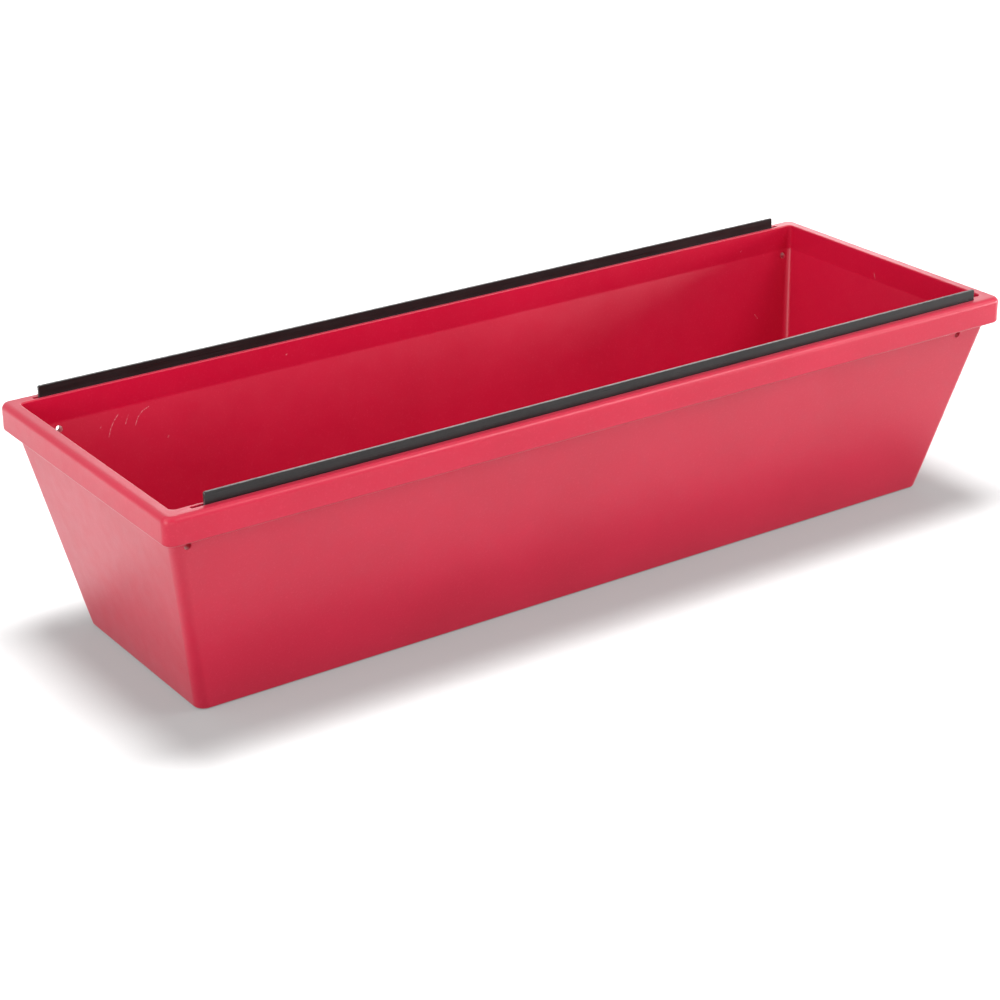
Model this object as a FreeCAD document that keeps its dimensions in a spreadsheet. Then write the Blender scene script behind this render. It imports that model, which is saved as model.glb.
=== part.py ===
"""A drywall mud pan: a tapered plastic trough with a steel scraper blade standing in each long rim.

X runs along the length, Y across it from the front rim to the rear rim, and Z up. The origin is the
centre of the flat base, which stands on Z = 0. All sizes are in millimetres.
"""
import FreeCAD, Part
import math
import os
import Sketcher

Vector = FreeCAD.Vector

# Driving dimensions: alias, value, meaning.
DRIVING = [
    ("overall_length", 330.0, "rim band, outer face to outer face along X"),
    ("overall_width", 114.0, "rim band, outer face to outer face along Y"),
    ("rim_height", 75.0, "base to the flat top of the rim"),
    ("end_flare", 16.5, "how far the band face stands out beyond the base at each end"),
    ("side_flare", 19.25, "how far the band face stands out beyond the base on each long side"),
    ("band_depth", 9.2, "height of the upright band round the rim"),
    ("band_step", 3.2, "how far the band stands proud of the wall below it"),
    ("end_rim_width", 4.9, "band face to mouth at each end"),
    ("side_rim_width", 5.9, "band face to mouth on each long side"),
    ("end_wall_thickness", 2.2, "end wall at the floor, measured along X"),
    ("side_wall_thickness", 2.5, "long wall at the floor, measured along Y"),
    ("floor_thickness", 2.6, "base to the inside floor"),
    ("band_corner_radius", 3.5, "plan radius of the band's corners"),
    ("wall_corner_radius", 3.7, "plan radius of the outer wall's corners"),
    ("mouth_corner_radius", 1.6, "plan radius of the inside corners at the mouth"),
    ("floor_corner_radius", 3.0, "plan radius of the inside corners at the floor"),
    ("rim_edge_radius", 2.0, "rounding of the rim's outer top edge"),
    ("band_foot_radius", 0.9, "rounding of the band's lower outer edge"),
    ("mouth_edge_radius", 0.45, "rounding of the mouth's top edge"),
    ("base_edge_radius", 1.2, "rounding round the base"),
    ("floor_fillet_radius", 2.4, "fillet between the inside floor and the walls"),
    ("blade_end_margin", 12.6, "band face to blade end, with the blade centred"),
    ("blade_height", 12.7, "strip width of the blade, from slot bottom to scraping edge"),
    ("blade_thickness", 1.0, "gauge of the blade's strip steel"),
    ("blade_corner_radius", 0.6, "rounding of the blade's corners"),
    ("blade_setback", 4.1, "band face to the blade's middle plane"),
    ("blade_side_clearance", 0.1, "gap between blade and slot on each face"),
    ("slot_end_play", 2.2, "room beyond each end of a centred blade"),
    ("slot_foot", 0.3, "how far the slot stops above the band's lower edge"),
    ("front_blade_shift", 2.0, "how far the front blade has slid along X in its slot"),
    ("rear_blade_shift", -0.4, "how far the rear blade has slid along X in its slot"),
    ("drain_diameter", 2.4, "small drain holes through the long walls, under the band"),
    ("drain_drop", 2.3, "band's lower edge down to the drain holes' centres"),
    ("near_drain_inset", 8.5, "band face to the drain hole beside one corner"),
    ("far_drain_inset", 17.3, "band face to the drain hole beside the other corner"),
    ("drain_reach", 2.0, "how far the drain bore runs on past the mouth's face"),
]

# Sizes that follow from the driving ones: alias, formula, meaning.
DERIVED = [
    ("base_length", "=overall_length - 2 * end_flare", "flat base along X"),
    ("base_width", "=overall_width - 2 * side_flare", "flat base along Y"),
    ("wall_height", "=rim_height - band_depth", "base to the band's lower edge"),
    ("wall_top_length", "=overall_length - 2 * band_step", "outer wall at its top along X"),
    ("wall_top_width", "=overall_width - 2 * band_step", "outer wall at its top along Y"),
    ("mouth_length", "=overall_length - 2 * end_rim_width", "mouth along X"),
    ("mouth_width", "=overall_width - 2 * side_rim_width", "mouth along Y"),
    ("floor_rise", "=floor_thickness / wall_height", "how far up the outer wall the floor lies"),
    ("end_draw", "=floor_rise * (wall_top_length - base_length)", "wall's spread along X by the floor"),
    ("side_draw", "=floor_rise * (wall_top_width - base_width)", "wall's spread along Y by the floor"),
    ("floor_length", "=base_length + end_draw - 2 * end_wall_thickness", "inside floor along X"),
    ("floor_width", "=base_width + side_draw - 2 * side_wall_thickness", "inside floor along Y"),
    ("blade_length", "=overall_length - 2 * blade_end_margin", "blade along X"),
    ("blade_row", "=overall_width / 2 - blade_setback", "blade's middle plane from the centre line"),
    ("slot_length", "=blade_length + 2 * slot_end_play", "slot along X"),
    ("slot_width", "=blade_thickness + 2 * blade_side_clearance", "slot along Y"),
    ("slot_depth", "=band_depth - slot_foot", "rim top to the slot's bottom"),
    ("slot_bottom", "=rim_height - slot_depth", "height on which the blades stand"),
    ("drain_height", "=wall_height - drain_drop", "height of the drain holes"),
    ("drain_depth", "=side_rim_width + drain_reach", "band face to the end of the drain bore"),
    ("near_drain_place", "=near_drain_inset - overall_length / 2", "drain hole by the left end, along X"),
    ("far_drain_place", "=overall_length / 2 - far_drain_inset", "drain hole by the right end, along X"),
]

SNAP = 0.01

doc = FreeCAD.newDocument("MudPan")
sheet = doc.addObject("Spreadsheet::Sheet", "Sizes")


def fill_sheet():
    """One row a size: its meaning, and its value or formula under its alias."""
    for row, (alias, content, meaning) in enumerate(DRIVING + DERIVED, start=1):
        sheet.set(f"A{row}", meaning)
        sheet.set(f"B{row}", str(content))
        sheet.setAlias(f"B{row}", alias)
    doc.recompute()


def size(alias):
    """The value of one cell, for sketching near the solved shape and for finding edges."""
    return float(getattr(sheet, alias))


def origin_feature(body, role):
    """One of a body's own origin planes or axes."""
    return next(feature for feature in body.Origin.OriginFeatures if feature.Role == role)


def new_body(name):
    """An empty body whose label names its file."""
    body = doc.addObject("PartDesign::Body", name)
    body.Label = name
    return body


def new_sketch(body, name, role, offset=None):
    """An empty sketch on an origin plane, or off it along its normal by an expression."""
    sketch = body.newObject("Sketcher::SketchObject", name)
    sketch.AttachmentSupport = [(origin_feature(body, role), "")]
    sketch.MapMode = "FlatFace"
    if offset:
        sketch.setExpression("AttachmentOffset.Base.z", offset)
    return sketch


def constrain(sketch, *definition):
    """Add one constraint."""
    return sketch.addConstraint(Sketcher.Constraint(*definition))


def dimension(sketch, name, expression, *definition):
    """Add one named dimension and bind it to the sheet."""
    index = constrain(sketch, *definition)
    sketch.renameConstraint(index, name)
    sketch.setExpression(f"Constraints.{name}", expression)


def rounded_rectangle(sketch, length, width, radius):
    """A centred rectangle with rounded corners: corner arcs 0 to 3, then the sides 4 to 7."""
    half_x = size(length) / 2
    half_y = size(width) / 2
    r = size(radius)
    for index, (sign_x, sign_y) in enumerate([(1, 1), (-1, 1), (-1, -1), (1, -1)]):
        centre = Vector(sign_x * (half_x - r), sign_y * (half_y - r), 0)
        circle = Part.Circle(centre, Vector(0, 0, 1), r)
        start = index * math.pi / 2
        sketch.addGeometry(Part.ArcOfCircle(circle, start, start + math.pi / 2), False)
    for index in range(4):
        start = sketch.getPoint(index, 2)
        end = sketch.getPoint((index + 1) % 4, 1)
        sketch.addGeometry(Part.LineSegment(start, end), False)
    for index in range(4):
        constrain(sketch, "Tangent", index, 2, 4 + index, 1)
        constrain(sketch, "Tangent", 4 + index, 2, (index + 1) % 4, 1)
    for side, direction in zip(range(4, 8), ["Horizontal", "Vertical"] * 2):
        constrain(sketch, direction, side)
    for arc in range(1, 4):
        constrain(sketch, "Equal", 0, arc)
    constrain(sketch, "Symmetric", 0, 3, 2, 3, -1, 1)
    dimension(sketch, "corner", f"Sizes.{radius}", "Radius", 0, r)
    dimension(sketch, "across", f"Sizes.{length}", "DistanceX", 5, 1, 7, 1, 2 * half_x)
    dimension(sketch, "along", f"Sizes.{width}", "DistanceY", 6, 1, 4, 1, 2 * half_y)


def slot_outline(sketch):
    """A long rectangle, centred along X, for the slot behind the front rim."""
    half_length = size("slot_length") / 2
    near = -size("blade_row") - size("slot_width") / 2
    far = -size("blade_row") + size("slot_width") / 2
    points = [(-half_length, near), (half_length, near), (half_length, far), (-half_length, far)]
    corners = [Vector(x, y, 0) for x, y in points]
    for index in range(4):
        sketch.addGeometry(Part.LineSegment(corners[index], corners[(index + 1) % 4]), False)
    for index in range(4):
        constrain(sketch, "Coincident", index, 2, (index + 1) % 4, 1)
    for line, direction in [(1, "Vertical"), (2, "Horizontal"), (3, "Vertical")]:
        constrain(sketch, direction, line)
    constrain(sketch, "Symmetric", 0, 1, 0, 2, -2)
    dimension(sketch, "length", "Sizes.slot_length", "DistanceX", 0, 1, 0, 2, 2 * half_length)
    dimension(sketch, "gap", "Sizes.slot_width", "DistanceY", 1, 1, 1, 2, far - near)
    row = "Sizes.blade_row - Sizes.slot_width / 2"
    dimension(sketch, "row", row, "DistanceY", 2, 1, -1, 1, -far)


def drain_outline(sketch):
    """The two drain holes of the front wall, seen along Y."""
    for index, place in enumerate(["near_drain_place", "far_drain_place"]):
        centre = Vector(size(place), size("drain_height"), 0)
        sketch.addGeometry(Part.Circle(centre, Vector(0, 0, 1), size("drain_diameter") / 2), False)
        bore = "Sizes.drain_diameter / 2"
        dimension(sketch, f"bore_{index}", bore, "Radius", index, size("drain_diameter") / 2)
        height = "Sizes.drain_height"
        dimension(sketch, f"height_{index}", height, "DistanceY", -1, 1, index, 3, centre.y)
    left = "-Sizes.near_drain_place"
    dimension(sketch, "left", left, "DistanceX", 0, 3, -1, 1, -size("near_drain_place"))
    right = "Sizes.far_drain_place"
    dimension(sketch, "right", right, "DistanceX", -1, 1, 1, 3, size("far_drain_place"))


def blade_outline(sketch):
    """A strip standing on X, centred on the origin, with rounded corners at its scraping edge."""
    half = size("blade_length") / 2
    height = size("blade_height")
    r = size("blade_corner_radius")
    straights = [
        (Vector(-half, 0, 0), Vector(half, 0, 0)),
        (Vector(half, 0, 0), Vector(half, height - r, 0)),
        (Vector(half - r, height, 0), Vector(r - half, height, 0)),
        (Vector(-half, height - r, 0), Vector(-half, 0, 0)),
    ]
    for start, end in straights:
        sketch.addGeometry(Part.LineSegment(start, end), False)
    for centre_x, start in [(half - r, 0.0), (r - half, math.pi / 2)]:
        circle = Part.Circle(Vector(centre_x, height - r, 0), Vector(0, 0, 1), r)
        sketch.addGeometry(Part.ArcOfCircle(circle, start, start + math.pi / 2), False)
    constrain(sketch, "Coincident", 0, 2, 1, 1)
    constrain(sketch, "Coincident", 3, 2, 0, 1)
    constrain(sketch, "Tangent", 1, 2, 4, 1)
    constrain(sketch, "Tangent", 4, 2, 2, 1)
    constrain(sketch, "Tangent", 2, 2, 5, 1)
    constrain(sketch, "Tangent", 5, 2, 3, 1)
    for line, direction in enumerate(["Horizontal", "Vertical"] * 2):
        constrain(sketch, direction, line)
    constrain(sketch, "Equal", 4, 5)
    constrain(sketch, "Symmetric", 0, 1, 0, 2, -1, 1)
    dimension(sketch, "corner", "Sizes.blade_corner_radius", "Radius", 4, r)
    dimension(sketch, "length", "Sizes.blade_length", "DistanceX", 0, 1, 0, 2, 2 * half)
    dimension(sketch, "height", "Sizes.blade_height", "DistanceY", 0, 1, 2, 1, height)


def level_loft(body, kind, name, lower, upper):
    """Add or cut a tapered block between two rounded rectangles: each is a height and three sizes."""
    sketches = []
    for place, (height, length, width, radius) in [("foot", lower), ("head", upper)]:
        sketch = new_sketch(body, f"{name}_{place}", "XY_Plane", height)
        rounded_rectangle(sketch, length, width, radius)
        sketches.append(sketch)
    loft = body.newObject(f"PartDesign::{kind}", name)
    loft.Profile = sketches[0]
    loft.Sections = [sketches[1]]
    loft.Ruled = True
    doc.recompute()
    return loft


def extrusion(body, kind, name, sketch, length):
    """Pad or pocket a sketch by an expression."""
    feature = body.newObject(f"PartDesign::{kind}", name)
    feature.Profile = sketch
    feature.setExpression("Length", length)
    doc.recompute()
    return feature


def cut(body, name, sketch, length):
    """Pocket a sketch, and stop if the pocket took nothing away."""
    before = body.Shape.Volume
    pocket = extrusion(body, "Pocket", name, sketch, length)
    if body.Shape.Volume > before - SNAP:
        raise RuntimeError(f"{name} cut nothing")
    return pocket


def repeat(body, kind, name, original, reference_property, role):
    """Mirror or turn a feature about one of the body's origin planes or axes, and make it the tip."""
    before = body.Shape.Volume
    pattern = body.newObject(f"PartDesign::{kind}", name)
    pattern.Originals = [original]
    setattr(pattern, reference_property, (origin_feature(body, role), [""]))
    if kind == "PolarPattern":
        pattern.Angle = 360
        pattern.Occurrences = 2
    body.Tip = pattern
    doc.recompute()
    if body.Shape.Volume > before - SNAP:
        raise RuntimeError(f"{name} repeated nothing")


def loop_edges(shape, height, length):
    """Names of the edges in the level loop at a height whose extent along X is the given length."""
    for face in shape.Faces:
        for wire in face.Wires:
            box = wire.BoundBox
            level = abs(box.ZMin - height) < SNAP and abs(box.ZMax - height) < SNAP
            if level and abs(box.XLength - length) < SNAP:
                loop = wire.Edges
                numbered = enumerate(shape.Edges, start=1)
                return [f"Edge{n}" for n, edge in numbered if any(edge.isSame(e) for e in loop)]
    raise ValueError(f"no level loop {length} long at height {height}")


def round_loop(body, name, height, length, radius):
    """Fillet one level loop of edges, found by its height and its length, with a radius from the sheet."""
    base = body.Tip
    fillet = body.newObject("PartDesign::Fillet", name)
    fillet.Base = (base, loop_edges(base.Shape, height, size(length)))
    fillet.setExpression("Radius", f"Sizes.{radius}")
    doc.recompute()


def make_pan():
    """The moulded trough: tapered walls, an upright band round the rim, two slots and four drains."""
    body = new_body("pan")

    # Outer wall, and the band that stands proud of its top.
    foot = (None, "base_length", "base_width", "wall_corner_radius")
    shoulder = ("Sizes.wall_height", "wall_top_length", "wall_top_width", "wall_corner_radius")
    level_loft(body, "AdditiveLoft", "outer_wall", foot, shoulder)
    band = new_sketch(body, "band_outline", "XY_Plane", "Sizes.wall_height")
    rounded_rectangle(band, "overall_length", "overall_width", "band_corner_radius")
    extrusion(body, "Pad", "band", band, "Sizes.band_depth")

    # Inside: sloping walls from the floor up to the band, then upright to the mouth.
    floor = ("Sizes.floor_thickness", "floor_length", "floor_width", "floor_corner_radius")
    throat = ("Sizes.wall_height", "mouth_length", "mouth_width", "mouth_corner_radius")
    level_loft(body, "SubtractiveLoft", "hollow", floor, throat)
    mouth = new_sketch(body, "mouth_outline", "XY_Plane", "Sizes.rim_height")
    rounded_rectangle(mouth, "mouth_length", "mouth_width", "mouth_corner_radius")
    cut(body, "mouth", mouth, "Sizes.band_depth")

    # A slot for a blade in each long rim.
    slot = new_sketch(body, "slot_outline", "XY_Plane", "Sizes.rim_height")
    slot_outline(slot)
    front_slot = cut(body, "front_slot", slot, "Sizes.slot_depth")
    repeat(body, "Mirrored", "rear_slot", front_slot, "MirrorPlane", "XZ_Plane")

    # Drain holes: a pair in the front wall, turned half round for the pair in the rear wall.
    drains = new_sketch(body, "drain_outline", "XZ_Plane", "Sizes.overall_width / 2")
    drain_outline(drains)
    front_drains = cut(body, "front_drains", drains, "Sizes.drain_depth")
    repeat(body, "PolarPattern", "rear_drains", front_drains, "Axis", "Z_Axis")

    # Roundings, from the top down.
    rim = size("rim_height")
    band_foot = size("wall_height")
    inside_floor = size("floor_thickness")
    round_loop(body, "rim_edge", rim, "overall_length", "rim_edge_radius")
    round_loop(body, "mouth_edge", rim, "mouth_length", "mouth_edge_radius")
    round_loop(body, "band_foot", band_foot, "overall_length", "band_foot_radius")
    round_loop(body, "floor_fillet", inside_floor, "floor_length", "floor_fillet_radius")
    round_loop(body, "base_edge", 0.0, "base_length", "base_edge_radius")
    return body


def make_blade(name, shift, side):
    """A steel strip that stands on the bottom of its slot; side is -1 at the front and 1 at the rear."""
    body = new_body(name)
    outline = new_sketch(body, f"{name}_outline", "XZ_Plane")
    blade_outline(outline)
    strip = extrusion(body, "Pad", f"{name}_strip", outline, "Sizes.blade_thickness")
    strip.SideType = "Symmetric"
    body.setExpression("Placement.Base.x", f"Sizes.{shift}")
    body.setExpression("Placement.Base.y", f"{side} * Sizes.blade_row")
    body.setExpression("Placement.Base.z", "Sizes.slot_bottom")
    doc.recompute()
    return body


fill_sheet()
parts = [
    make_pan(),
    make_blade("front_scraper_blade", "front_blade_shift", -1),
    make_blade("rear_scraper_blade", "rear_blade_shift", 1),
]
doc.recompute()

for item in doc.Objects:
    if "Invalid" in item.State or "Error" in item.State:
        raise RuntimeError(f"{item.Name} failed: {item.State}")
for body in parts:
    if body.Shape.isNull() or not body.Shape.isValid() or len(body.Shape.Solids) != 1:
        raise RuntimeError(f"{body.Label} is not one valid solid")

os.makedirs("parts", exist_ok=True)
for body in parts:
    body.Shape.exportStep(f"parts/{body.Label}.step")
    box = body.Shape.BoundBox
    volume = body.Shape.Volume / 1000
    print(f"{body.Label}: {volume:.2f} cm3, x {box.XMin:.2f} to {box.XMax:.2f},", end=" ")
    print(f"y {box.YMin:.2f} to {box.YMax:.2f}, z {box.ZMin:.2f} to {box.ZMax:.2f}")
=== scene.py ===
"""Looks of a drywall mud pan: a red moulded trough with a black steel blade in each long rim."""
import math

import bmesh
import bpy
from mathutils import Matrix, Vector


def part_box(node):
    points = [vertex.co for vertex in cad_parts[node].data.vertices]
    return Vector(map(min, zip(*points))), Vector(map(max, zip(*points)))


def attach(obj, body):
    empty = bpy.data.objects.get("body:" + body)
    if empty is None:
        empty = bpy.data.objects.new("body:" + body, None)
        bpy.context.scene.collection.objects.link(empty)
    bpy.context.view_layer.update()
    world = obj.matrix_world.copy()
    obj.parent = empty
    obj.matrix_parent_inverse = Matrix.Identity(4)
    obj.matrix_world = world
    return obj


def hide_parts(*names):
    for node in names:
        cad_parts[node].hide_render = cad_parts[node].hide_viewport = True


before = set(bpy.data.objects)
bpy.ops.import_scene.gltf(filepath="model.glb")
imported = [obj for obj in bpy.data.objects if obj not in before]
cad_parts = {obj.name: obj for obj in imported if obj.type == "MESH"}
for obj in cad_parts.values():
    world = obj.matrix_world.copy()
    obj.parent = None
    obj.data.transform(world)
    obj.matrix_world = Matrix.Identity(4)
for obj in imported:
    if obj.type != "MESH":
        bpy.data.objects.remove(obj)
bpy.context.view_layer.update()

MM = 0.001

# ---------------------------------------------------------------- sizes of the pan's section
PAN_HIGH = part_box("pan")[1]
HALF_LENGTH = PAN_HIGH.x
HALF_WIDTH = PAN_HIGH.y
RIM_HEIGHT = PAN_HIGH.z
END_FLARE = 16.5 * MM
SIDE_FLARE = 19.25 * MM
BAND_DEPTH = 9.2 * MM
BAND_STEP = 3.2 * MM
END_RIM = 4.9 * MM
SIDE_RIM = 5.9 * MM
END_WALL = 2.2 * MM
SIDE_WALL = 2.5 * MM
FLOOR = 2.6 * MM
WALL_HEIGHT = RIM_HEIGHT - BAND_DEPTH

# How far the flat base and the inside floor are carried in from their edges as a strip of their own.
APRON = 12 * MM

# Roundings of the section's corners, from under the base, over the rim and down to the inside floor.
BASE_ROUNDING = 1.2 * MM
SHOULDER_ROUNDING = 0.4 * MM
BAND_FOOT_ROUNDING = 0.9 * MM
RIM_OUTER_ROUNDING = 2.0 * MM
RIM_INNER_ROUNDING = 0.45 * MM
THROAT_ROUNDING = 4.0 * MM
INSIDE_FLOOR_ROUNDING = 2.4 * MM

# Radii of the pan's four upright corners, seen from above, at each height.
WALL_CORNER = 3.7 * MM
BAND_CORNER = 3.5 * MM
MOUTH_CORNER = 1.6 * MM
SLOT_ROW_CORNER = 1.8 * MM
INSIDE_FLOOR_CORNER = 3.0 * MM
APRON_CORNER = 1 * MM

# The slots take their size and place from the blades that stand in them.
REAR_LOW, REAR_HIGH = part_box("rear_scraper_blade")
BLADE_ROW = (REAR_LOW.y + REAR_HIGH.y) / 2
SLOT_SIDE_ROOM = 0.1 * MM
SLOT_END_ROOM = 2.2 * MM
SLOT_HALF_WIDTH = (REAR_HIGH.y - REAR_LOW.y) / 2 + SLOT_SIDE_ROOM
SLOT_HALF_LENGTH = (REAR_HIGH.x - REAR_LOW.x) / 2 + SLOT_END_ROOM
SLOT_BOTTOM = REAR_LOW.z
SLOT_CHAMFER = 0.12 * MM

DRAIN_RADIUS = 1.2 * MM
DRAIN_HEIGHT = WALL_HEIGHT - 2.3 * MM
DRAIN_PLACES = [8.5 * MM - HALF_LENGTH, HALF_LENGTH - 17.3 * MM]
DRAIN_CUTTER_LENGTH = 8 * MM
DRAIN_CUTTER_MIDDLE = 5 * MM - HALF_WIDTH

# ---------------------------------------------------------------- mesh density
ARC_STEPS = 6
CORNER_STEPS = 8
LONG_STATIONS = 42
SHORT_STATIONS = 14
WALL_ROWS = 8
ROUNDED_CORNERS_UNDER_SLOT = 4

# The furthest out that a side's last inner station lies, as a share of its straight run.
LAST_LONG_STATION = 0.978
LAST_SHORT_STATION = 0.94

DRAIN_SEGMENTS = 24
SHARP_ANGLE = math.radians(50)
NORMAL_WEIGHT = 100


# ---------------------------------------------------------------- the pan's section
def rounded_path(corners):
    """Points along a broken line with rounded corners, as (offset, height, plan radius).

    corners holds (offset, height, rounding radius, plan radius). An offset is measured inwards from
    the band's face, so the plan radius shrinks by as much as the offset grows.
    """
    path = []
    for index, (offset, height, radius, plan) in enumerate(corners):
        if radius == 0:
            path.append((offset, height, plan))
            continue
        here = Vector((offset, height))
        before = (Vector(corners[index - 1][:2]) - here).normalized()
        after = (Vector(corners[index + 1][:2]) - here).normalized()
        half_angle = before.angle(after) / 2
        centre = here + (before + after).normalized() * radius / math.sin(half_angle)
        start = here + before * radius / math.tan(half_angle) - centre
        end = here + after * radius / math.tan(half_angle) - centre
        sweep = start.angle_signed(end)
        for step in range(ARC_STEPS + 1):
            point = centre + Matrix.Rotation(-sweep * step / ARC_STEPS, 2) @ start
            path.append((point.x, point.y, plan + offset - point.x))
    return path


def between(first, last, count):
    """Unrounded points that divide the straight line between two corners."""
    points = []
    for step in range(1, count):
        share = step / count
        offset, height = (a + (b - a) * share for a, b in zip(first[:2], last[:2]))
        plan = first[3] + (last[3] - first[3]) * share
        points.append((offset, height, 0, plan))
    return points


def pan_section(flare, rim_width, wall):
    """The pan's section through one wall, from the middle of the base round to the inside floor."""
    spread = (flare - BAND_STEP) * FLOOR / WALL_HEIGHT
    floor_offset = flare - spread + wall
    base_edge = (flare, 0, BASE_ROUNDING, WALL_CORNER)
    shoulder = (BAND_STEP, WALL_HEIGHT, SHOULDER_ROUNDING, WALL_CORNER)
    throat = (rim_width, WALL_HEIGHT, THROAT_ROUNDING, MOUTH_CORNER)
    floor_edge = (floor_offset, FLOOR, INSIDE_FLOOR_ROUNDING, INSIDE_FLOOR_CORNER)
    slot_offset = (HALF_WIDTH - BLADE_ROW) * rim_width / SIDE_RIM
    slot_outer = slot_offset - SLOT_HALF_WIDTH - SLOT_CHAMFER
    slot_inner = slot_offset + SLOT_HALF_WIDTH + SLOT_CHAMFER
    # The end rims have no slot and are narrower, so this row keeps clear of their inner rounding.
    if rim_width < SIDE_RIM:
        slot_inner -= SLOT_CHAMFER
    return [
        (flare + APRON, 0, 0, APRON_CORNER),
        base_edge,
        *between(base_edge, shoulder, WALL_ROWS),
        shoulder,
        (0, WALL_HEIGHT, BAND_FOOT_ROUNDING, BAND_CORNER),
        (0, RIM_HEIGHT, RIM_OUTER_ROUNDING, BAND_CORNER),
        (slot_outer, RIM_HEIGHT, 0, MOUTH_CORNER),
        (slot_inner, RIM_HEIGHT, 0, SLOT_ROW_CORNER),
        (rim_width, RIM_HEIGHT, RIM_INNER_ROUNDING, MOUTH_CORNER),
        throat,
        *between(throat, floor_edge, WALL_ROWS),
        floor_edge,
        (floor_offset + APRON, FLOOR, 0, APRON_CORNER),
    ]


def stations(count, last):
    """Fractions along a straight side: both ends, and even steps between -last and last."""
    inner = [-last + 2 * last * step / (count - 2) for step in range(count - 1)]
    return [-1.0] + inner + [1.0]


def ring(across, along):
    """One level ring of points round the pan, anticlockwise from the right end's front corner.

    across and along are (offset, height, plan radius) of the end wall's and the long wall's section.
    """
    half_x = HALF_LENGTH - across[0]
    half_y = HALF_WIDTH - along[0]
    radius = (across[2] + along[2]) / 2
    run_x = half_x - radius
    run_y = half_y - radius
    slot_end = min((SLOT_HALF_LENGTH + SLOT_CHAMFER) / run_x, LAST_LONG_STATION)
    long_fractions = stations(LONG_STATIONS, slot_end)
    short_fractions = stations(SHORT_STATIONS, LAST_SHORT_STATION)
    points = []
    for quarter in range(4):
        on_end = quarter % 2 == 0
        sign = 1 if quarter < 2 else -1
        for fraction in short_fractions if on_end else long_fractions:
            if on_end:
                points.append((sign * half_x, sign * fraction * run_y, across[1]))
            else:
                points.append((-sign * fraction * run_x, sign * half_y, along[1]))
        centre_x = run_x if quarter in (0, 3) else -run_x
        centre_y = run_y if quarter in (0, 1) else -run_y
        for step in range(1, CORNER_STEPS):
            angle = (quarter + step / CORNER_STEPS) * math.pi / 2
            mix = math.cos(angle) ** 2
            height = across[1] * mix + along[1] * (1 - mix)
            x = centre_x + radius * math.cos(angle)
            y = centre_y + radius * math.sin(angle)
            points.append((x, y, height))
    return [Vector(point) for point in points]


def slot_columns(quarter):
    """Ring indices from one end of a slot to the other, on the rear (1) or the front (3) long side."""
    side = SHORT_STATIONS + 1 + LONG_STATIONS + 1 + 2 * (CORNER_STEPS - 1)
    first = SHORT_STATIONS + 1 + CORNER_STEPS - 1
    start = first + (side if quarter == 3 else 0)
    return list(range(start + 1, start + LONG_STATIONS))


def cut_slot(bm, outer_row, inner_row, columns):
    """Line one slot: a chamfer round its mouth, upright walls and a flat bottom."""
    loop = [outer_row[c] for c in columns] + [inner_row[c] for c in reversed(columns)]
    middle_y = (loop[0].co.y + loop[-1].co.y) / 2
    previous = loop
    for height, inset in [(RIM_HEIGHT - SLOT_CHAMFER, SLOT_CHAMFER), (SLOT_BOTTOM, SLOT_CHAMFER)]:
        lower = []
        for vert in loop:
            x = math.copysign(min(abs(vert.co.x), SLOT_HALF_LENGTH), vert.co.x)
            y = vert.co.y - math.copysign(inset, vert.co.y - middle_y)
            lower.append(bm.verts.new((x, y, height)))
        for index in range(len(loop)):
            after = (index + 1) % len(loop)
            bm.faces.new((previous[index], lower[index], lower[after], previous[after]))
        previous = lower
    half = len(columns)
    for index in range(half - 1):
        far = len(loop) - 1 - index
        bm.faces.new((previous[index], previous[far], previous[far - 1], previous[index + 1]))


def finished_mesh(bm, name):
    """Turn a bmesh into an object with outward normals and smooth faces."""
    bmesh.ops.recalc_face_normals(bm, faces=bm.faces)
    mesh = bpy.data.meshes.new(name)
    bm.to_mesh(mesh)
    bm.free()
    mesh.shade_smooth()
    piece = bpy.data.objects.new(name, mesh)
    bpy.context.scene.collection.objects.link(piece)
    return piece


def apply_modifiers(piece):
    """Keep what the modifiers make as the piece's own mesh."""
    depsgraph = bpy.context.evaluated_depsgraph_get()
    made = bpy.data.meshes.new_from_object(piece.evaluated_get(depsgraph))
    piece.modifiers.clear()
    piece.data = made


def drain_cutters():
    """Bars for the drain holes: a pair through the front wall, turned half round for the rear wall."""
    bm = bmesh.new()
    for turn in (0, math.pi):
        for place in DRAIN_PLACES:
            bar = bmesh.ops.create_cone(
                bm,
                cap_ends=True,
                segments=DRAIN_SEGMENTS,
                radius1=DRAIN_RADIUS,
                radius2=DRAIN_RADIUS,
                depth=DRAIN_CUTTER_LENGTH,
            )
            to_wall = Matrix.Rotation(turn, 4, "Z")
            seat = Matrix.Translation((place, DRAIN_CUTTER_MIDDLE, DRAIN_HEIGHT))
            level = Matrix.Rotation(math.pi / 2, 4, "X")
            bmesh.ops.transform(bm, verts=bar["verts"], matrix=to_wall @ seat @ level)
    return finished_mesh(bm, "drain_cutters")


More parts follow.
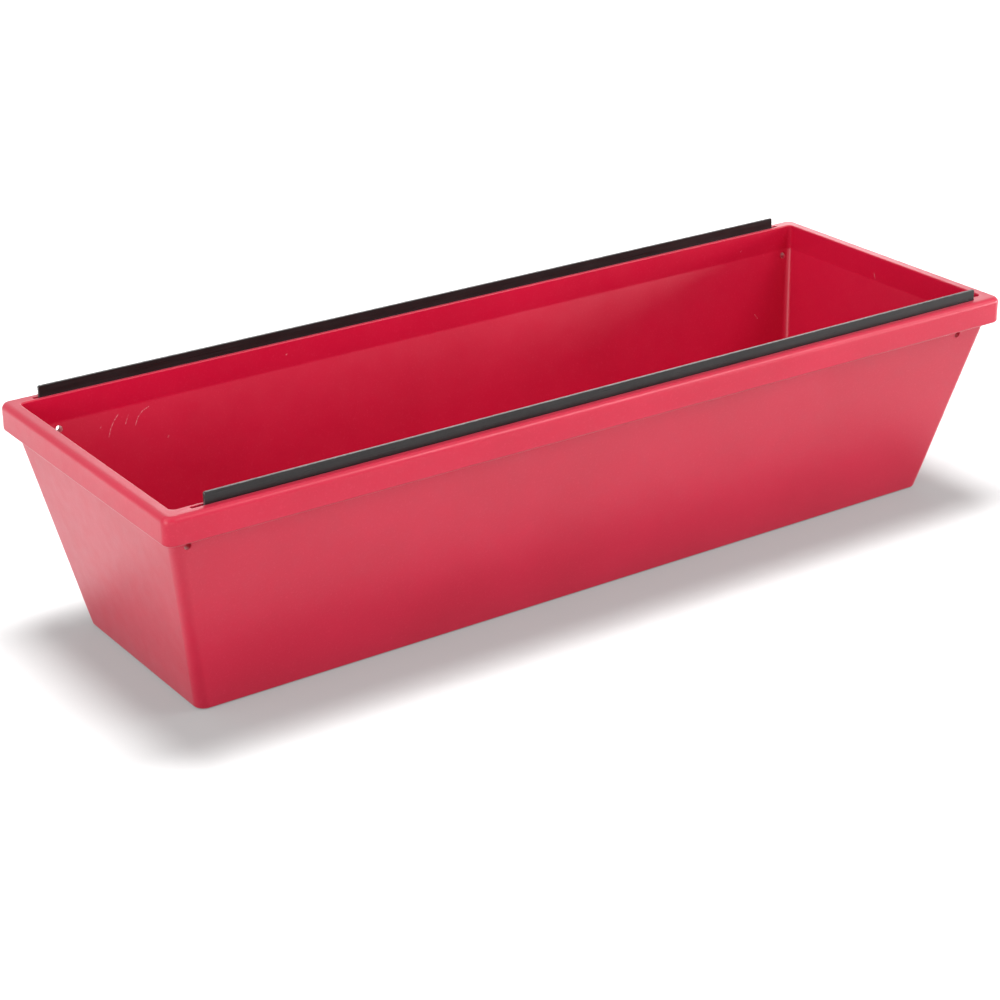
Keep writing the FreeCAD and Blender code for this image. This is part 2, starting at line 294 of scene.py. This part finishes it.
def make_pan():
    """The whole moulding as one closed mesh."""
    across = rounded_path(pan_section(END_FLARE, END_RIM, END_WALL))
    along = rounded_path(pan_section(SIDE_FLARE, SIDE_RIM, SIDE_WALL))
    bm = bmesh.new()
    rows = [[bm.verts.new(point) for point in ring(a, b)] for a, b in zip(across, along)]
    count = len(rows[0])
    # The slot's outer row comes after the apron's row, the rounded corners' rows and the wall's rows.
    slot_start = 1 + (ARC_STEPS + 1) * ROUNDED_CORNERS_UNDER_SLOT + WALL_ROWS - 1
    slots = {column for quarter in (1, 3) for column in slot_columns(quarter)[:-1]}
    for index in range(len(rows) - 1):
        for column in range(count):
            if index == slot_start and column in slots:
                continue
            after = (column + 1) % count
            low, high = rows[index], rows[index + 1]
            bm.faces.new((low[column], low[after], high[after], high[column]))
    for quarter in (1, 3):
        cut_slot(bm, rows[slot_start], rows[slot_start + 1], slot_columns(quarter))
    bm.faces.new(rows[0])
    bm.faces.new(rows[-1])
    pan = finished_mesh(bm, "moulded_pan")

    cutters = drain_cutters()
    drains = pan.modifiers.new("drains", "BOOLEAN")
    drains.object = cutters
    drains.solver = "EXACT"
    apply_modifiers(pan)
    bpy.data.objects.remove(cutters)
    pan.data.set_sharp_from_angle(angle=SHARP_ANGLE)
    weighted = pan.modifiers.new("weighted_normals", "WEIGHTED_NORMAL")
    weighted.keep_sharp = True
    weighted.weight = NORMAL_WEIGHT
    return pan


# ---------------------------------------------------------------- blades
BLADE_CORNER = 0.6 * MM
BLADE_BEVEL = 0.14 * MM
BLADE_ARC_STEPS = 5
BEVEL_BREAK = 0.3


def blade_outline(half_length, half_height, inset):
    """A rectangle with rounded corners in the blade's own plane, anticlockwise, drawn in by inset."""
    radius = BLADE_CORNER
    points = []
    for quarter in range(4):
        centre_x = (half_length - radius) * (1 if quarter in (0, 3) else -1)
        centre_z = (half_height - radius) * (1 if quarter in (0, 1) else -1)
        for step in range(BLADE_ARC_STEPS + 1):
            angle = (quarter + step / BLADE_ARC_STEPS) * math.pi / 2
            x = centre_x + (radius - inset) * math.cos(angle)
            z = centre_z + (radius - inset) * math.sin(angle)
            points.append((x, z))
    return points


def make_blade(name, node):
    """A flat steel strip with rounded corners and its sharp edges just broken."""
    low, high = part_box(node)
    middle = (low + high) / 2
    half = (high - low) / 2
    bm = bmesh.new()
    rows = []
    break_size = BLADE_BEVEL * BEVEL_BREAK
    for depth, inset in [
        (-half.y, BLADE_BEVEL),
        (-half.y + break_size, break_size),
        (-half.y + BLADE_BEVEL, 0),
        (half.y - BLADE_BEVEL, 0),
        (half.y - break_size, break_size),
        (half.y, BLADE_BEVEL),
    ]:
        outline = blade_outline(half.x, half.z, inset)
        rows.append([bm.verts.new((x + middle.x, middle.y + depth, z + middle.z)) for x, z in outline])
    count = len(rows[0])
    for low_row, high_row in zip(rows, rows[1:]):
        for index in range(count):
            after = (index + 1) % count
            bm.faces.new((low_row[index], low_row[after], high_row[after], high_row[index]))
    bm.faces.new(rows[0])
    bm.faces.new(rows[-1])
    blade = finished_mesh(bm, name)
    weighted = blade.modifiers.new("weighted_normals", "WEIGHTED_NORMAL")
    weighted.weight = NORMAL_WEIGHT
    return blade


# ---------------------------------------------------------------- material helpers
def new_material(name):
    """An empty node material, returned with its tree and its principled shader."""
    material = bpy.data.materials.new(name)
    material.use_nodes = True
    tree = material.node_tree
    tree.nodes.clear()
    output = tree.nodes.new("ShaderNodeOutputMaterial")
    shader = tree.nodes.new("ShaderNodeBsdfPrincipled")
    tree.links.new(shader.outputs[0], output.inputs["Surface"])
    return material, tree, shader


def put(tree, socket, value):
    """Link a socket to another node's output, or set its value."""
    if isinstance(value, bpy.types.NodeSocket):
        tree.links.new(value, socket)
    else:
        socket.default_value = value


def math_node(tree, operation, first, second=0.0, third=0.0):
    """The result of one sum on up to three values."""
    node = tree.nodes.new("ShaderNodeMath")
    node.operation = operation
    for socket, value in zip(node.inputs, (first, second, third)):
        put(tree, socket, value)
    return node.outputs[0]


def vector_node(tree, operation, first, second=(0, 0, 0)):
    """A node that does one sum on up to two vectors. The caller picks its output."""
    node = tree.nodes.new("ShaderNodeVectorMath")
    node.operation = operation
    for socket, value in zip(node.inputs, (first, second)):
        put(tree, socket, value)
    return node


def noise(tree, position, scale, detail=2.0, roughness=0.5):
    """Even noise, about 0.5, with scale features to the metre."""
    node = tree.nodes.new("ShaderNodeTexNoise")
    put(tree, node.inputs["Vector"], position)
    node.inputs["Scale"].default_value = scale
    node.inputs["Detail"].default_value = detail
    node.inputs["Roughness"].default_value = roughness
    return node.outputs[0]


def remap(tree, value, low, high, to_low, to_high, smooth=False):
    """Stretch low..high on to to_low..to_high, held at both ends."""
    node = tree.nodes.new("ShaderNodeMapRange")
    node.interpolation_type = "SMOOTHSTEP" if smooth else "LINEAR"
    for socket, number in zip(node.inputs, (value, low, high, to_low, to_high)):
        put(tree, socket, number)
    return node.outputs[0]


def mix_colour(tree, share, first, second):
    """The first colour where share is 0, the second where it is 1."""
    node = tree.nodes.new("ShaderNodeMix")
    node.data_type = "RGBA"
    put(tree, node.inputs["Factor"], share)
    put(tree, node.inputs[6], first)
    put(tree, node.inputs[7], second)
    return node.outputs[2]


def bump(tree, height, distance, strength, under=None):
    """A normal bent by a height, over an earlier bump where one is given."""
    node = tree.nodes.new("ShaderNodeBump")
    node.inputs["Distance"].default_value = distance
    node.inputs["Strength"].default_value = strength
    put(tree, node.inputs["Height"], height)
    if under is not None:
        put(tree, node.inputs["Normal"], under)
    return node.outputs[0]


def object_position(tree):
    """Where a point of the surface lies, in metres, in the frame that all the pieces share."""
    return tree.nodes.new("ShaderNodeTexCoord").outputs["Object"]


SCRATCH_CORE = 0.4
SCRATCH_EDGE = 1.3


def scratch(tree, position, start, end, half_width):
    """1 on a short straight scratch between two points of the surface, 0 away from it.

    The points and the half width are in millimetres.
    """
    start = Vector(start) * MM
    run = Vector(end) * MM - start
    offset = vector_node(tree, "SUBTRACT", position, start).outputs[0]
    along = vector_node(tree, "DOT_PRODUCT", offset, run / run.length_squared).outputs["Value"]
    along = math_node(tree, "MINIMUM", math_node(tree, "MAXIMUM", along, 0.0), 1.0)
    scaled = vector_node(tree, "SCALE", tuple(run))
    put(tree, scaled.inputs["Scale"], along)
    away = vector_node(tree, "DISTANCE", offset, scaled.outputs[0]).outputs["Value"]
    core = half_width * SCRATCH_CORE * MM
    edge = half_width * SCRATCH_EDGE * MM
    return remap(tree, away, core, edge, 1.0, 0.0, smooth=True)


# ---------------------------------------------------------------- materials
# Marks left by scraping, inside the trough. Each has its middle on the wall (along it, height), its
# length, its lean from upright in degrees, how far it bows aside and its half width, in millimetres.
REAR_MARKS = [
    (-129, 60.5, 8, 35, 0.6, 0.16),
    (-118.5, 61.5, 7.5, 50, 1.0, 0.15),
    (-124, 61.5, 3, 30, 0, 0.13),
    (-133.5, 61, 0.5, 50, 0, 0.20),
    (-110.5, 53, 0.5, 45, 0, 0.22),
    (-63, 70.5, 0.5, 60, 0, 0.22),
    (140, 43.5, 2, -35, 0, 0.16),
    (136, 69, 0.5, 60, 0, 0.22),
]
END_MARKS = [(3, 67.5, 2, 20, 0, 0.22)]
LONG_MARK = 5
LONG_MARK_RUNS = 3


def mark_points(along, height, length, lean, bow):
    """Points from the foot to the top of one mark, as (along the wall, height)."""
    count = LONG_MARK_RUNS if length > LONG_MARK else 1
    lean = math.radians(lean)
    points = []
    for step in range(count + 1):
        share = 2 * step / count - 1
        up = share * length / 2
        aside = bow * (1 - share ** 2)
        x = along + up * math.sin(lean) - aside * math.cos(lean)
        z = height + up * math.cos(lean) + aside * math.sin(lean)
        points.append((x, z))
    return points


def inner_wall(flare, rim_width, wall, height):
    """How far in from the band's face a wall's inner side lies at a height, in millimetres."""
    corners = pan_section(flare, rim_width, wall)
    foot = next(corner for corner in corners if corner[1] == FLOOR and corner[2] > 0)
    depth = max(WALL_HEIGHT - height * MM, 0)
    return (rim_width + (foot[0] - rim_width) * depth / (WALL_HEIGHT - FLOOR)) / MM


def mark_paths():
    """Every mark as points on the pan's surface, with its half width."""
    paths = []
    for *shape, half_width in REAR_MARKS:
        points = mark_points(*shape)
        depths = [HALF_WIDTH / MM - inner_wall(SIDE_FLARE, SIDE_RIM, SIDE_WALL, z) for x, z in points]
        paths.append(([(x, y, z) for (x, z), y in zip(points, depths)], half_width))
    for *shape, half_width in END_MARKS:
        points = mark_points(*shape)
        depths = [HALF_LENGTH / MM - inner_wall(END_FLARE, END_RIM, END_WALL, z) for y, z in points]
        paths.append(([(x, y, z) for (y, z), x in zip(points, depths)], half_width))
    return paths


# Colours, as red, green, blue and opacity.
DEEP_RED = (0.57, 0.002, 0.036, 1)
FULL_RED = (0.62, 0.003, 0.042, 1)
FLECK_RED = (0.68, 0.03, 0.075, 1)
SCRAPED_RED = (0.80, 0.42, 0.46, 1)
DEEP_BLACK = (0.009, 0.0088, 0.009, 1)
FULL_BLACK = (0.013, 0.0125, 0.013, 1)
STREAK_GREY = (0.022, 0.021, 0.022, 1)
WORN_GREY = (0.16, 0.15, 0.15, 1)

# How fine each pattern is, in features to the metre.
FLOW_SCALE = 22
PEEL_SCALE = 170
GRAIN_SCALE = 1150
SPECKLE_SCALE = 1500
MARK_BREAK_SCALE = 1400
BLOTCH_SCALE = 90
STREAK_SCALE = 2600
WEAR_SCALE = 700

# Streaks are this much finer across a blade than along it.
STREAK_STRETCH = (0.02, 1.0, 1.0)

# How strongly a mark changes the plastic's colour and roughness, and wear the steel's colour and metal.
MARK_STRENGTH = 0.6
MARK_ROUGHNESS = 0.25
WEAR_COLOUR = 0.7
WEAR_METAL = 0.3

# How far wear reaches in from a blade's edge, and how near to the edge it is full.
TOP_WEAR = 0.16 * MM
TOP_FULL_WEAR = 0.04 * MM
END_WEAR = 0.3 * MM
END_FULL_WEAR = 0.05 * MM

PEEL_DEPTH = 0.04 * MM
GRAIN_DEPTH = 0.03 * MM
STREAK_DEPTH = 0.01 * MM


def scrape_marks(tree, position):
    """1 on the scrape marks inside the trough, broken up along their length, and 0 elsewhere."""
    marks = None
    for points, half_width in mark_paths():
        for start, end in zip(points, points[1:]):
            mark = scratch(tree, position, start, end, half_width)
            marks = mark if marks is None else math_node(tree, "MAXIMUM", marks, mark)
    breaks = noise(tree, position, MARK_BREAK_SCALE, 2, 0.6)
    return math_node(tree, "MULTIPLY", marks, remap(tree, breaks, 0.40, 0.60, 0.15, 1.0))


def red_plastic():
    """Semi-gloss moulded red plastic with a fine grain, a faint flow pattern and a few scrapes."""
    material, tree, shader = new_material("red_plastic")
    position = object_position(tree)
    flow = noise(tree, position, FLOW_SCALE, 3)
    speckle = noise(tree, position, SPECKLE_SCALE, 2, 0.6)
    grain = noise(tree, position, GRAIN_SCALE, 3, 0.55)
    peel = noise(tree, position, PEEL_SCALE, 2)
    marks = scrape_marks(tree, position)

    colour = mix_colour(tree, remap(tree, flow, 0.35, 0.65, 0, 1), DEEP_RED, FULL_RED)
    flecks = remap(tree, speckle, 0.56, 0.72, 0, 0.35)
    colour = mix_colour(tree, flecks, colour, FLECK_RED)
    scraped = math_node(tree, "MULTIPLY", marks, MARK_STRENGTH)
    colour = mix_colour(tree, scraped, colour, SCRAPED_RED)
    put(tree, shader.inputs["Base Color"], colour)

    rough = remap(tree, peel, 0.3, 0.7, 0.30, 0.36)
    rougher = math_node(tree, "MULTIPLY", marks, MARK_ROUGHNESS)
    put(tree, shader.inputs["Roughness"], math_node(tree, "ADD", rough, rougher))
    shader.inputs["IOR"].default_value = 1.5
    shader.inputs["Sheen Weight"].default_value = 0.2
    shader.inputs["Sheen Roughness"].default_value = 0.35

    normal = bump(tree, peel, PEEL_DEPTH, 0.35)
    normal = bump(tree, grain, GRAIN_DEPTH, 0.5, normal)
    put(tree, shader.inputs["Normal"], normal)
    return material


def black_steel(name, node):
    """Satin black finish on steel, rolled along its length, worn paler along the strip's edges."""
    material, tree, shader = new_material(name)
    low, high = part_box(node)
    position = object_position(tree)
    stretched = vector_node(tree, "MULTIPLY", position, STREAK_STRETCH).outputs[0]
    streaks = noise(tree, stretched, STREAK_SCALE, 3, 0.6)
    blotches = noise(tree, position, BLOTCH_SCALE, 3)
    parts = tree.nodes.new("ShaderNodeSeparateXYZ")
    put(tree, parts.inputs[0], position)
    x = parts.outputs["X"]
    z = parts.outputs["Z"]
    near_top = remap(tree, z, high.z - TOP_WEAR, high.z - TOP_FULL_WEAR, 0, 1, smooth=True)
    near_left = remap(tree, x, low.x + END_WEAR, low.x + END_FULL_WEAR, 0, 1, smooth=True)
    near_right = remap(tree, x, high.x - END_WEAR, high.x - END_FULL_WEAR, 0, 1, smooth=True)
    near_end = math_node(tree, "MAXIMUM", near_left, near_right)
    edge = math_node(tree, "MAXIMUM", near_top, near_end)
    chatter = remap(tree, noise(tree, position, WEAR_SCALE, 3, 0.7), 0.42, 0.62, 0.25, 1.0)
    worn = math_node(tree, "MULTIPLY", edge, chatter)

    colour = mix_colour(tree, remap(tree, blotches, 0.35, 0.65, 0, 1), DEEP_BLACK, FULL_BLACK)
    colour = mix_colour(tree, remap(tree, streaks, 0.45, 0.7, 0, 0.5), colour, STREAK_GREY)
    colour = mix_colour(tree, math_node(tree, "MULTIPLY", worn, WEAR_COLOUR), colour, WORN_GREY)
    put(tree, shader.inputs["Base Color"], colour)
    put(tree, shader.inputs["Metallic"], math_node(tree, "MULTIPLY", worn, WEAR_METAL))
    put(tree, shader.inputs["Roughness"], remap(tree, streaks, 0.3, 0.7, 0.27, 0.36))
    shader.inputs["Specular IOR Level"].default_value = 0.33
    put(tree, shader.inputs["Normal"], bump(tree, streaks, STREAK_DEPTH, 0.3))
    return material


def seen_ray(tree):
    """1 for what the camera sees, straight, in a gloss or through glass, and 0 for diffuse light."""
    path = tree.nodes.new("ShaderNodeLightPath")
    seen = math_node(tree, "MAXIMUM", path.outputs["Is Camera Ray"], path.outputs["Is Glossy Ray"])
    return math_node(tree, "MAXIMUM", seen, path.outputs["Is Transmission Ray"])


# The floor's brightness as written: a low one for the light that it returns to the object, and one for
# what is seen. Seen, it also glows, from the first level near the object to white at the far distance.
FLOOR_ALBEDO = 0.12
SEEN_FLOOR_ALBEDO = 0.22
FLOOR_GLOW = 0.26
FAR_FLOOR_GLOW = 1.0
GLOW_RISES_FROM = 0.22
GLOW_RISES_TO = 0.50
FLOOR_SIZE = 9
FLOOR_GAP = 0.2 * MM


def floor_material():
    """A plain floor that is seen white where no shadow falls."""
    material, tree, shader = new_material("pale_floor")
    seen = seen_ray(tree)
    grey = (FLOOR_ALBEDO, FLOOR_ALBEDO, FLOOR_ALBEDO, 1)
    seen_grey = (SEEN_FLOOR_ALBEDO, SEEN_FLOOR_ALBEDO, SEEN_FLOOR_ALBEDO, 1)
    put(tree, shader.inputs["Base Color"], mix_colour(tree, seen, grey, seen_grey))
    shader.inputs["Roughness"].default_value = 0.9
    shader.inputs["Specular IOR Level"].default_value = 0.0
    shader.inputs["Emission Color"].default_value = (1, 1, 1, 1)
    distance = vector_node(tree, "LENGTH", object_position(tree)).outputs["Value"]
    level = remap(
        tree, distance, GLOW_RISES_FROM, GLOW_RISES_TO, FLOOR_GLOW, FAR_FLOOR_GLOW, smooth=True
    )
    put(tree, shader.inputs["Emission Strength"], math_node(tree, "MULTIPLY", seen, level))
    return material


# ---------------------------------------------------------------- pieces
def use(piece, material, slot, body, *nodes):
    """Give a piece its material, hide the CAD nodes it stands for and set it on its body."""
    piece.data.materials.clear()
    piece.data.materials.append(material)
    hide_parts(*nodes)
    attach(piece, body)


use(make_pan(), red_plastic(), "red_plastic", "pan_body", "pan")
for side in ("front", "rear"):
    blade_node = side + "_scraper_blade"
    blade_piece = make_blade(side + "_steel_blade", blade_node)
    blade_finish = black_steel(side + "_black_steel", blade_node)
    use(blade_piece, blade_finish, "black_steel", side + "_blade", blade_node)


# ---------------------------------------------------------------- camera
CAMERA_PLACE = Vector((-444.95, -631.56, 358.39)) * MM
CAMERA_AIM = Vector((-11.16, 0, 21.74)) * MM
CAMERA_ROLL = math.radians(-0.4816)
SENSOR_WIDTH = 36
LENS = 88.39
NEAREST_SEEN = 0.05
FURTHEST_SEEN = 20

camera = bpy.data.objects.new("camera", bpy.data.cameras.new("camera"))
bpy.context.scene.collection.objects.link(camera)
bpy.context.scene.camera = camera
camera.data.sensor_width = SENSOR_WIDTH
camera.data.lens = LENS
camera.data.clip_start = NEAREST_SEEN
camera.data.clip_end = FURTHEST_SEEN
camera.location = CAMERA_PLACE
upright = (CAMERA_AIM - CAMERA_PLACE).to_track_quat("-Z", "Y").to_matrix()
camera.rotation_euler = (upright @ Matrix.Rotation(CAMERA_ROLL, 3, "Z")).to_euler()


# ---------------------------------------------------------------- floor and light
def make_floor():
    """A square sheet just under the object, kept off the object's bodies."""
    half = FLOOR_SIZE / 2
    mesh = bpy.data.meshes.new("floor")
    corners = [(-half, -half, 0), (half, -half, 0), (half, half, 0), (-half, half, 0)]
    mesh.from_pydata(corners, [], [(0, 1, 2, 3)])
    mesh.materials.append(floor_material())
    made = bpy.data.objects.new("floor", mesh)
    made.location.z = -FLOOR_GAP
    bpy.context.scene.collection.objects.link(made)
    return made


def soft_light(name, place, aim, width, depth, power):
    """A rectangular soft light at a place, turned to an aim point."""
    light = bpy.data.lights.new(name, "AREA")
    light.shape = "RECTANGLE"
    light.size = width
    light.size_y = depth
    light.energy = power
    lamp = bpy.data.objects.new(name, light)
    lamp.location = place
    lamp.rotation_euler = (Vector(aim) - Vector(place)).to_track_quat("-Z", "Y").to_euler()
    bpy.context.scene.collection.objects.link(lamp)
    return lamp


# The floor's own lamp: name, place, aim, width and depth in metres, and power in watts.
FLOOR_LAMP = ("floor_lamp", (0.05, 0.13, 1.2), (0, 0.02, 0), 0.6, 0.38, 72)

# The lamps on the object, in the same order but for the aim, which they share.
LAMP_AIM = (0, 0, 0.04)
LAMPS = [
    ("overhead", (0, 0, 1.3), 1.2, 1.2, 2),
    ("high_left", (-0.9, 0, 1.1), 0.9, 1.2, 4.5),
    ("high_right", (0.7, -0.7, 0.9), 0.5, 0.5, 5),
    ("low_front", (-0.5, -1.25, 0.2), 0.8, 0.3, 2.4),
    ("low_right", (1.15, -0.65, 0.2), 0.6, 0.3, 8),
    ("low_left", (-0.9, -0.25, 0.28), 0.5, 0.4, 2.7),
    ("rear_right", (0.85, 1.2, 0.65), 0.8, 0.5, 3.5),
]

# The floor's lamp lights nothing else, so the floor is white right up to a clear shadow.
floor = make_floor()
floor_lamp = soft_light(*FLOOR_LAMP)
only_floor = bpy.data.collections.new("only_floor")
only_floor.objects.link(floor)
floor_lamp.light_linking.receiver_collection = only_floor

for lamp_name, lamp_place, lamp_width, lamp_depth, lamp_power in LAMPS:
    soft_light(lamp_name, lamp_place, LAMP_AIM, lamp_width, lamp_depth, lamp_power)

# The world is white where it is seen, and lights the object at a lower level.
WORLD_FILL = 0.50
world = bpy.data.worlds.new("studio")
bpy.context.scene.world = world
world.use_nodes = True
world_tree = world.node_tree
sky = world_tree.nodes["Background"]
sky.inputs["Color"].default_value = (1, 1, 1, 1)
sky_level = math_node(world_tree, "MULTIPLY_ADD", seen_ray(world_tree), 1 - WORLD_FILL, WORLD_FILL)
put(world_tree, sky.inputs["Strength"], sky_level)

bpy.context.scene.view_settings.view_transform = "Standard"
